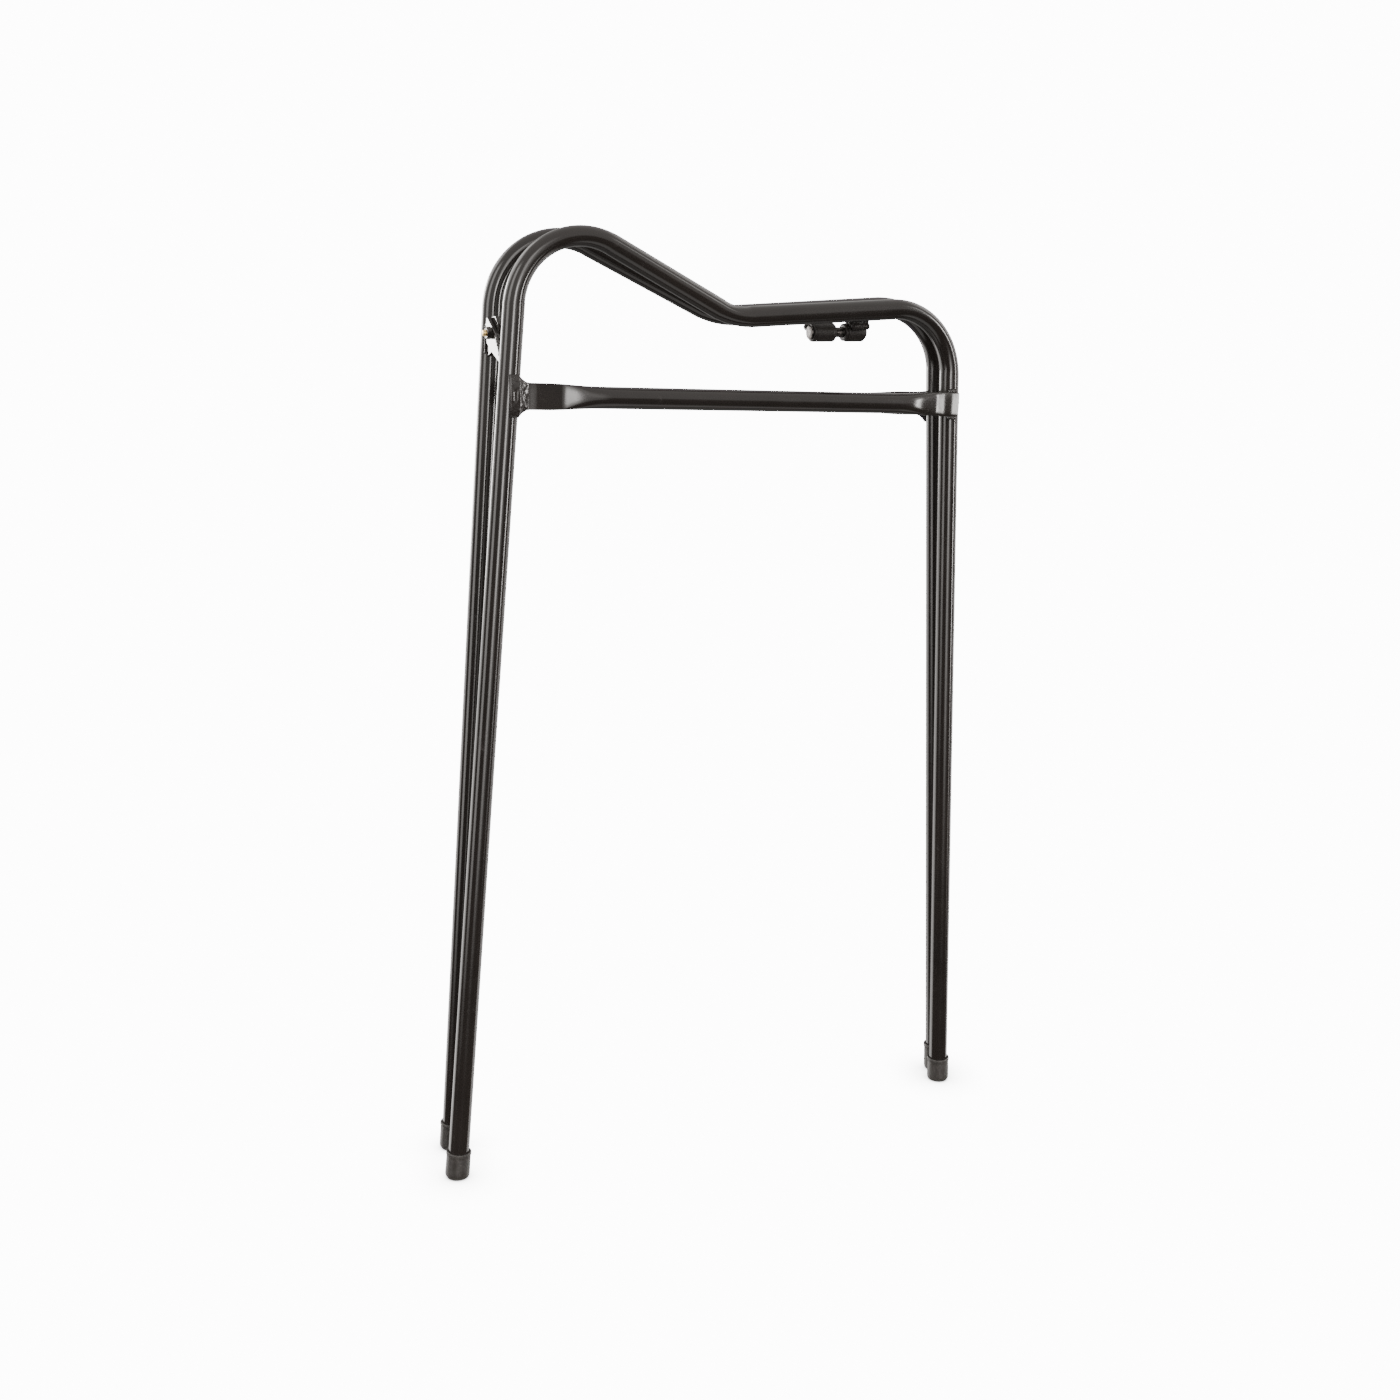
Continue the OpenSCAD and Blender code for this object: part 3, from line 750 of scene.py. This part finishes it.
# ---- right hinge: two sleeves, a pin and a washer
new_obj("rear_sleeve", sleeve_mesh(REAR_SLEEVE, 1), HINGE, "rear_frame", DULL_ENAMEL,
        ["rear_hinge_sleeve"], angle=60)
new_obj("front_sleeve", sleeve_mesh(FRONT_SLEEVE, 2), HINGE, "front_frame", DULL_ENAMEL,
        ["front_hinge_sleeve"], angle=60)
new_obj("right_pin", pin_mesh(), HINGE, "front_frame", DARK_OXIDE,
        ["right_hinge_pin"], angle=40)
FACE = FRONT_SLEEVE[0]          # the washer lies against this end of the front sleeve
bm = washer_mesh([(FACE - 2.5, 5.2), (FACE - 2.5, 8.1), (FACE - 2.2, 8.5), (FACE - 0.4, 8.5),
                  (FACE - 0.02, 8.1), (FACE - 0.02, 5.2)])
new_obj("right_washer", bm, HINGE, "front_frame", DULL_ENAMEL,
        ["right_pin_washer"], angle=40)
new_obj("rear_sleeve_bead", sleeve_beads(1, REAR_SLEEVE, 61), HINGE, "rear_frame",
        DULL_ENAMEL, ["rear_sleeve_weld"])
new_obj("front_sleeve_bead", sleeve_beads(-1, FRONT_SLEEVE, 71, early=2.2), HINGE,
        "front_frame", DULL_ENAMEL, ["front_sleeve_weld"])

# ---- foot caps; the racked rear frame stands at a different depth in each of its caps
RACK_RISE = FOOT_X * math.sin(REAR_RACK)
for name, side, low, splay, matrix, body, seed in (
        ("front_left_foot_cap", -1, 0.0, LEG_SPLAY, FRONT, "front_frame", 1),
        ("front_right_foot_cap", 1, 0.0, LEG_SPLAY, FRONT, "front_frame", 2),
        ("rear_left_foot_cap", -1, -REAR_LIFT + RACK_RISE, REAR_SPLAY, REAR, "rear_frame", 3),
        ("rear_right_foot_cap", 1, -REAR_LIFT - RACK_RISE, LEG_SPLAY, REAR, "rear_frame", 4)):
    bm, full = cap_mesh(side, low, splay, matrix, seed)
    new_obj(name.replace("_foot_cap", "_cap"), bm, full, body, RUBBER,
            [name], angle=50)


# ---- camera: set up in the front frame's own coordinates, so it turns and leans with it
def add_camera():
    data = bpy.data.cameras.new("camera")
    camera = bpy.data.objects.new("camera", data)
    bpy.context.scene.collection.objects.link(camera)
    data.sensor_width = 36.0
    data.lens = 42.43
    data.clip_start = 0.05
    data.clip_end = 60.0
    position = Vector((-769.3, -1411.8, 797.5))
    turn = FRONT.to_3x3()
    right = (turn @ Vector((0.8901, -0.4545, 0.0341))).normalized()
    ahead = (turn @ Vector((0.4511, 0.8678, -0.2083))).normalized()
    up = right.cross(ahead).normalized()
    matrix = Matrix((right, up, -ahead)).transposed().to_4x4()
    matrix.translation = (FRONT @ position) * 0.001
    camera.matrix_world = matrix
    bpy.context.scene.camera = camera


add_camera()

# ---- studio: what the paint reflects, by direction. The camera itself sees plain white.
WHITE = 13.0                    # strength at which the backdrop and the floor come out white
world = bpy.data.worlds.new("studio")
bpy.context.scene.world = world
world.use_nodes = True
sky = world.node_tree
sky.nodes.clear()


def calc(operation, a, b=None, clamp=False):
    """one math node of the world; a and b are sockets or numbers"""
    maths = sky.nodes.new("ShaderNodeMath")
    maths.operation = operation
    maths.use_clamp = clamp
    for i, value in enumerate((a, b)):
        if value is None:
            continue
        if isinstance(value, (int, float)):
            maths.inputs[i].default_value = value
        else:
            sky.links.new(value, maths.inputs[i])
    return maths.outputs[0]


def window(x, low, high, soft):
    """1 between low and high, falling to 0 over soft on each side"""
    rising = calc("DIVIDE", calc("SUBTRACT", x, low - soft), soft, True)
    falling = calc("DIVIDE", calc("SUBTRACT", high + soft, x), soft, True)
    return calc("MULTIPLY", rising, falling)


coords = sky.nodes.new("ShaderNodeTexCoord")
split = sky.nodes.new("ShaderNodeSeparateXYZ")
sky.links.new(coords.outputs["Generated"], split.inputs[0])
azimuth = calc("MULTIPLY", calc("ARCTAN2", split.outputs[1], split.outputs[0]), 180 / math.pi)
azimuth = calc("ADD", azimuth, calc("MULTIPLY", calc("LESS_THAN", azimuth, 0.0), 360.0))
elevation = calc("MULTIPLY", calc("ARCSINE", split.outputs[2]), 180 / math.pi)

near_side = window(azimuth, 158, 352, 6)        # the dark side, where the camera stands
dome = calc("ADD", 0.27, calc("MULTIPLY", window(elevation, 8, 90, 14), 0.75))
floor_dark = calc("SUBTRACT", 1.0, calc("MULTIPLY", window(elevation, -50, -6, 10), 0.75))
under = calc("MULTIPLY", window(elevation, -90, -58, 10), 0.8)
near = calc("ADD", calc("MULTIPLY", dome, floor_dark), under)
far = calc("ADD", 0.35, calc("MULTIPLY", window(elevation, 25, 90, 20), 0.6))
light = calc("ADD", calc("MULTIPLY", near, near_side),
             calc("MULTIPLY", far, calc("SUBTRACT", 1.0, near_side)))
# azimuth from, to and softness; elevation from, to and softness; strength
for a0, a1, a_soft, e0, e1, e_soft, strength in (
        (181, 201, 5, -12, 40, 7, 4.3),         # soft strip on the left
        (251, 264, 8, -13, 34, 7, 4.0),         # strip beside the camera
        (264, 279, 5, -13, 34, 7, 1.2),         # its fading edge
        (254, 262, 3, -5, 12, 4, 11.0),         # its bright core
        (319.5, 322, 2, -8, 14, 4, 30.0),       # narrow lamp on the right
        (318, 324, 3, -14, 30, 6, 4.0),         # and its frame
        (352, 356, 3, -30, 40, 10, 4.5),        # edge light on the right
        (106, 116, 3, -3, 14, 4, 22.0),         # back lamp, which the hinge plates mirror
        (100, 144, 6, -30, 40, 12, 3.0),        # back panel on the left
        (8, 30, 8, -30, 40, 12, 2.2)):          # back panel on the right
    panel = calc("MULTIPLY", window(azimuth, a0, a1, a_soft), window(elevation, e0, e1, e_soft))
    light = calc("ADD", light, calc("MULTIPLY", panel, strength))

seen = sky.nodes.new("ShaderNodeBackground")
seen.inputs["Color"].default_value = (1, 1, 1, 1)
seen.inputs["Strength"].default_value = WHITE
lit = sky.nodes.new("ShaderNodeBackground")
lit.inputs["Color"].default_value = (1.0, 0.975, 0.95, 1)
sky.links.new(light, lit.inputs["Strength"])
path = sky.nodes.new("ShaderNodeLightPath")
choice = sky.nodes.new("ShaderNodeMixShader")
sky_out = sky.nodes.new("ShaderNodeOutputWorld")
sky.links.new(path.outputs["Is Camera Ray"], choice.inputs[0])
sky.links.new(lit.outputs[0], choice.inputs[1])
sky.links.new(seen.outputs[0], choice.inputs[2])
sky.links.new(choice.outputs[0], sky_out.inputs[0])


# ---- plain pale floor with soft contact shadows
def floor_material():
    material = bpy.data.materials.new("pale_floor")
    material.use_nodes = True
    tree = material.node_tree
    tree.nodes.clear()
    contact = tree.nodes.new("ShaderNodeAmbientOcclusion")
    contact.inputs["Distance"].default_value = 0.05
    deeper = tree.nodes.new("ShaderNodeMath")
    deeper.operation = "POWER"
    deeper.inputs[1].default_value = 1.6
    scaled = tree.nodes.new("ShaderNodeMath")
    scaled.operation = "MULTIPLY"
    scaled.inputs[1].default_value = WHITE
    glow = tree.nodes.new("ShaderNodeEmission")
    output = tree.nodes.new("ShaderNodeOutputMaterial")
    tree.links.new(contact.outputs["AO"], deeper.inputs[0])
    tree.links.new(deeper.outputs[0], scaled.inputs[0])
    tree.links.new(scaled.outputs[0], glow.inputs["Strength"])
    tree.links.new(glow.outputs[0], output.inputs["Surface"])
    return material


bm = bmesh.new()
# a hair below the caps' soles
rings_to_mesh(bm, [[(r * c, r * s, -0.0002) for c, s in circle(64)]
                   for r in (0.02, 0.5, 1.0, 2.0, 6.0, 20.0)], close_end=False)
mesh = bpy.data.meshes.new("floor")
bm.to_mesh(mesh)
bm.free()
floor = bpy.data.objects.new("floor", mesh)
bpy.context.scene.collection.objects.link(floor)
mesh.materials.append(floor_material())
floor.visible_diffuse = False
floor.visible_glossy = False
floor.visible_shadow = False
